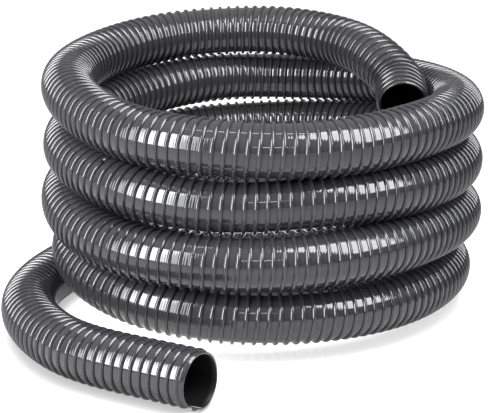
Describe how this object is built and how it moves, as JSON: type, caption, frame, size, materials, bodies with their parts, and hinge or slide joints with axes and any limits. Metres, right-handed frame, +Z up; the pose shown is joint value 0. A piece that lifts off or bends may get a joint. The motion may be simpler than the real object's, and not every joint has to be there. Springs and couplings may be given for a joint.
{
  "type": "coiled sewer hose",
  "caption": "Coiled smooth-bore waste hose with a helical rib, both ends open, the upper lying inside the ring and the lower run out in front.",
  "frame": {"origin": "on the floor, under the middle of the hose as it lies", "axes": "+Z up, the coil's axis; -Y towards the front, where the lower mouth lies; +X to the right, seen from the front"},
  "size_m": [0.797, 0.9312, 0.464],
  "materials": {
    "hose_wall": "gloss, flexible PVC",
    "hose_rib": "gloss, rigid PVC"
  },
  "bodies": {
    "root": {"coil": "hose_wall", "upper_run": "hose_wall", "upper_wall": "hose_wall", "upper_rib": "hose_rib", "lower_run": "hose_wall", "lower_wall": "hose_wall", "lower_rib": "hose_rib"}
  },
  "joints": []
}
